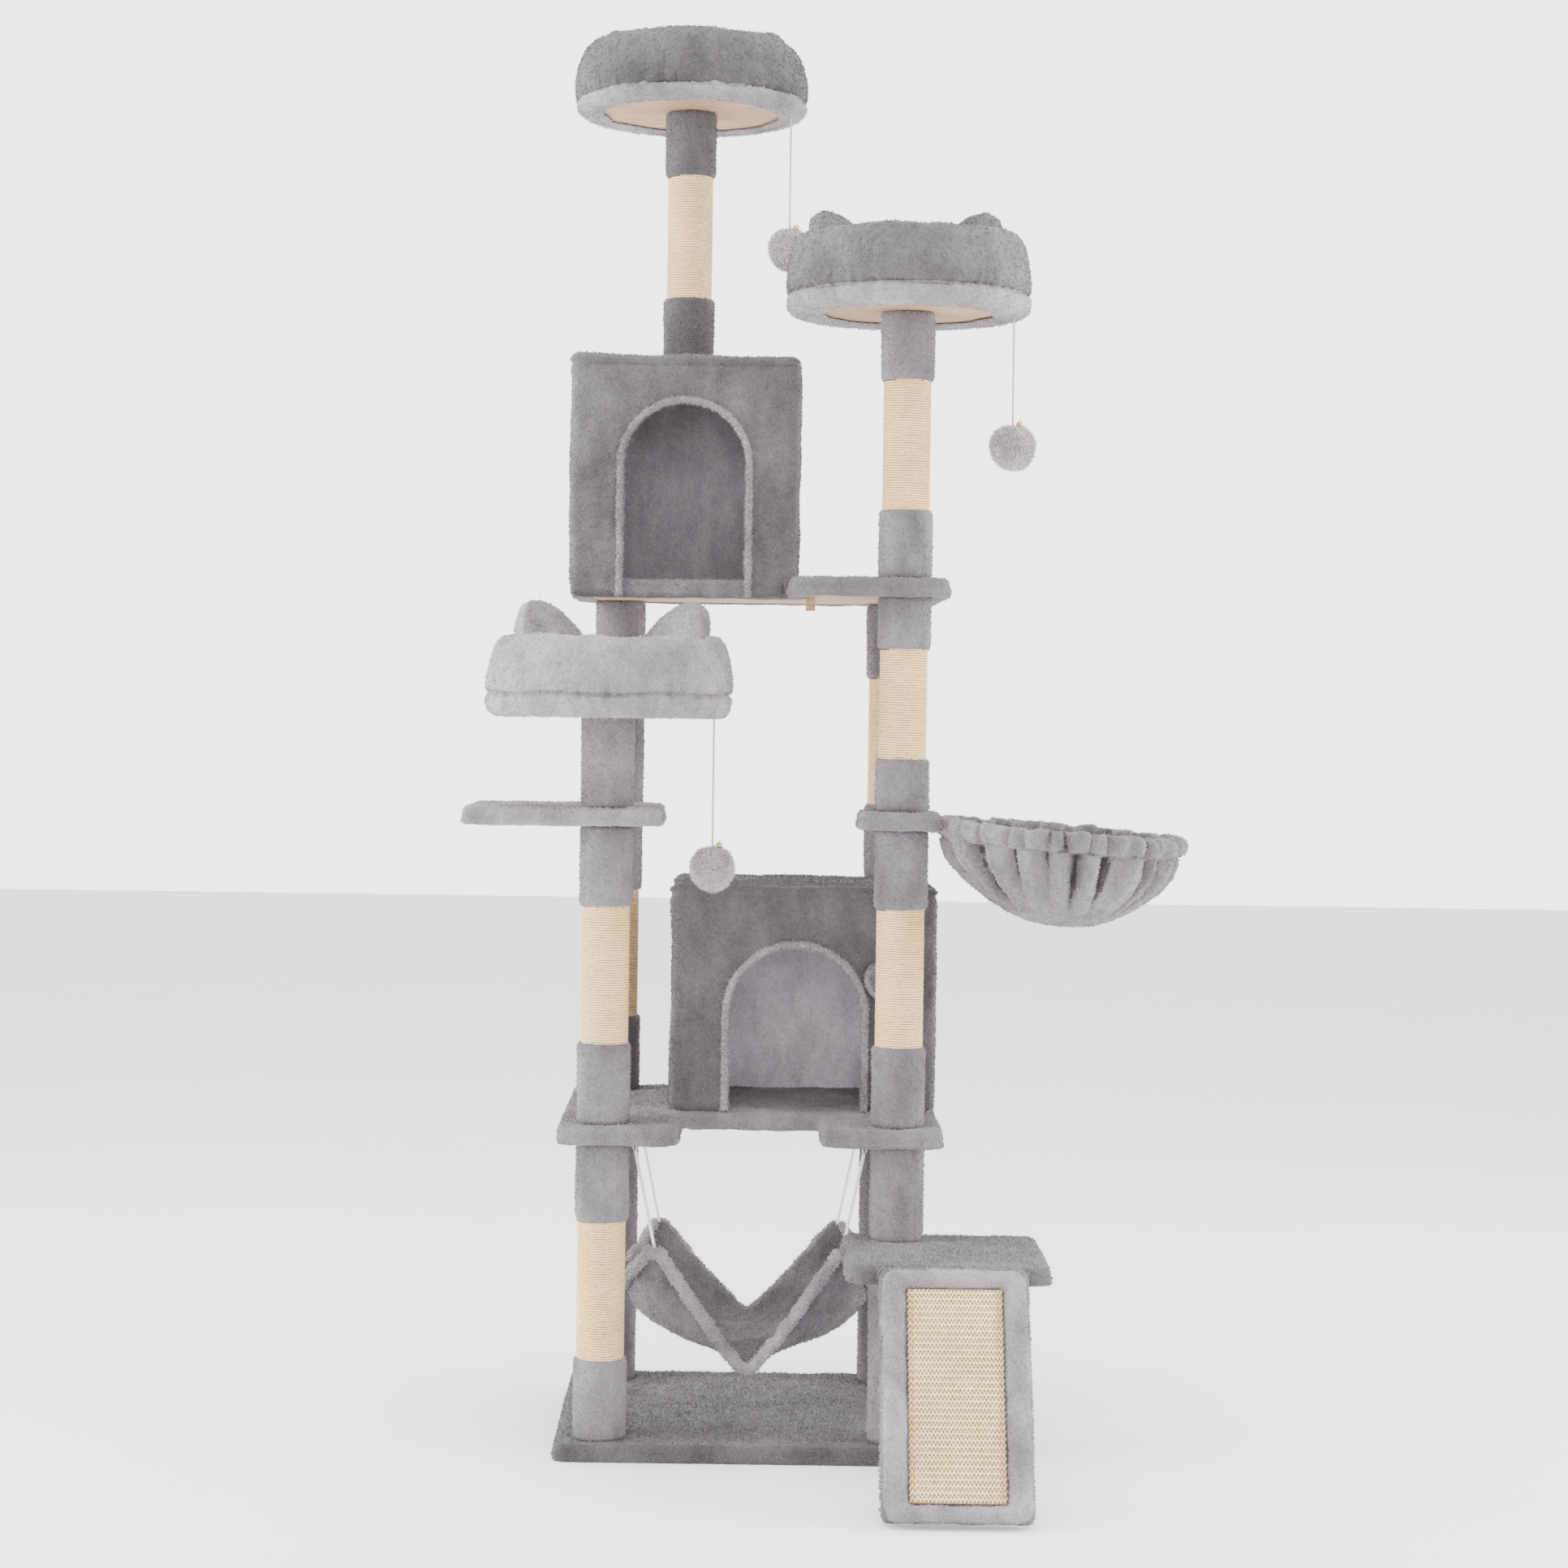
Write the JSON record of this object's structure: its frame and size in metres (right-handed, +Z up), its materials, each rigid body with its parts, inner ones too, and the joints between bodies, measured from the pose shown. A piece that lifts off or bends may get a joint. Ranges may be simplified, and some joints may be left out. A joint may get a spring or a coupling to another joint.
{
  "type": "cat tree",
  "caption": "Tall plush cat tree with sisal posts, two condos, round cat-eared beds, a hanging basket, a hammock, a scratching ramp and pompom toys.",
  "frame": {"origin": "centre of the base board's underside", "axes": "+Z up, +X to the right seen from the front, +Y to the back"},
  "size_m": [1.0539, 0.8367, 2.1879],
  "materials": {
    "plush": "short grey plush pile",
    "hammock_plush": "soft grey plush, darker in its folds",
    "sisal": "wound sisal rope, pale cream",
    "sisal_mat": "woven sisal mat with a zigzag weave",
    "wood": "bare plywood, matte",
    "hoop_steel": "bent steel wire",
    "elastic": "white braided elastic cord",
    "string": "white twisted string",
    "pompom": "fluffy grey ball",
    "bell": "small polished jingle bell"
  },
  "bodies": {
    "tree": {"base_cover": "plush", "mid_cover": "plush", "upper_cover": "plush", "shelf_board": "plush", "step_board": "plush", "lower_condo_body": "plush", "lower_condo_front": "plush", "upper_condo_body": "plush", "upper_condo_front": "plush", "high_bed_wall": "plush", "right_bed_wall": "plush", "left_bed_wall": "plush", "basket_bracket": "plush", "basket_bowl": "plush", "ramp_panel": "plush", "left_front_post_1": "plush", "left_front_post_2": "plush", "left_front_post_3": "plush", "right_front_post_1": "plush", "right_front_post_2": "plush", "right_front_post_3": "plush", "right_front_post_4": "plush", "right_front_post_5": "plush", "left_rear_post_1": "plush", "left_rear_post_2": "plush", "left_rear_post_3": "plush", "right_rear_post_1": "plush", "right_rear_post_2": "plush", "high_post": "plush", "left_front_post_1_sisal": "sisal", "left_front_post_2_sisal": "sisal", "right_front_post_3_sisal": "sisal", "right_front_post_4_sisal": "sisal", "right_front_post_5_sisal": "sisal", "left_rear_post_2_sisal": "sisal", "right_rear_post_2_sisal": "sisal", "high_post_sisal": "sisal", "base_board": "wood", "mid_board": "wood", "upper_board": "wood", "stop_block": "wood", "high_bed_disc": "wood", "right_bed_disc": "wood", "left_bed_disc": "wood", "ramp_mat": "sisal_mat", "basket_hoop": "hoop_steel"},
    "hammock": {"hammock_sling": "hammock_plush"},
    "cord_left_front": {"hammock_cord_left_front": "elastic"},
    "cord_right_front": {"hammock_cord_right_front": "elastic"},
    "cord_left_rear": {"hammock_cord_left_rear": "elastic"},
    "cord_right_rear": {"hammock_cord_right_rear": "elastic"},
    "high_string": {"high_toy_string": "string"},
    "high_pompom": {"high_toy_pompom": "pompom", "high_toy_bell": "bell"},
    "right_string": {"right_toy_string": "string"},
    "right_pompom": {"right_toy_pompom": "pompom", "right_toy_bell": "bell"},
    "left_string": {"left_toy_string": "string"},
    "left_pompom": {"left_toy_pompom": "pompom", "left_toy_bell": "bell"}
  },
  "joints": [
    {"name": "hammock_sway", "type": "hinge", "parent": "tree", "child": "cord_left_front", "pos_m": [-0.175, -0.133, 0.461], "axis": [1, 0, 0], "range_deg": [-5, 12]},
    {"name": "hammock_level", "type": "hinge", "parent": "cord_left_front", "child": "hammock", "pos_m": [-0.139, -0.133, 0.29], "axis": [1, 0, 0], "range_deg": [-12, 5]},
    {"name": "cord_right_front_swing", "type": "hinge", "parent": "tree", "child": "cord_right_front", "pos_m": [0.175, -0.133, 0.461], "axis": [1, 0, 0], "range_deg": [-5, 12]},
    {"name": "cord_left_rear_swing", "type": "hinge", "parent": "tree", "child": "cord_left_rear", "pos_m": [-0.175, 0.097, 0.461], "axis": [1, 0, 0], "range_deg": [-5, 12]},
    {"name": "cord_right_rear_swing", "type": "hinge", "parent": "tree", "child": "cord_right_rear", "pos_m": [0.175, 0.097, 0.461], "axis": [1, 0, 0], "range_deg": [-5, 12]},
    {"name": "high_toy_swing", "type": "hinge", "parent": "tree", "child": "high_string", "pos_m": [0.0435, 0.082, 2.02], "axis": [0, 1, 0], "range_deg": [-22, 22]},
    {"name": "high_pompom_swing", "type": "hinge", "parent": "high_string", "child": "high_pompom", "pos_m": [0.0435, 0.082, 1.844], "axis": [1, 0, 0], "range_deg": [-30, 30]},
    {"name": "right_toy_swing", "type": "hinge", "parent": "tree", "child": "right_string", "pos_m": [0.371, -0.194, 1.679], "axis": [0, 1, 0], "range_deg": [-22, 22]},
    {"name": "right_pompom_swing", "type": "hinge", "parent": "right_string", "child": "right_pompom", "pos_m": [0.371, -0.194, 1.517], "axis": [1, 0, 0], "range_deg": [-30, 30]},
    {"name": "left_toy_swing", "type": "hinge", "parent": "tree", "child": "left_string", "pos_m": [-0.061, -0.194, 1.087], "axis": [0, 1, 0], "range_deg": [-22, 18]},
    {"name": "left_pompom_swing", "type": "hinge", "parent": "left_string", "child": "left_pompom", "pos_m": [-0.061, -0.194, 0.894], "axis": [1, 0, 0], "range_deg": [-30, 30]}
  ],
  "couplings": [
    {"joint": "hammock_level", "follows": "hammock_sway", "ratio": -1},
    {"joint": "cord_right_front_swing", "follows": "hammock_sway", "ratio": 1},
    {"joint": "cord_left_rear_swing", "follows": "hammock_sway", "ratio": 1},
    {"joint": "cord_right_rear_swing", "follows": "hammock_sway", "ratio": 1}
  ]
}
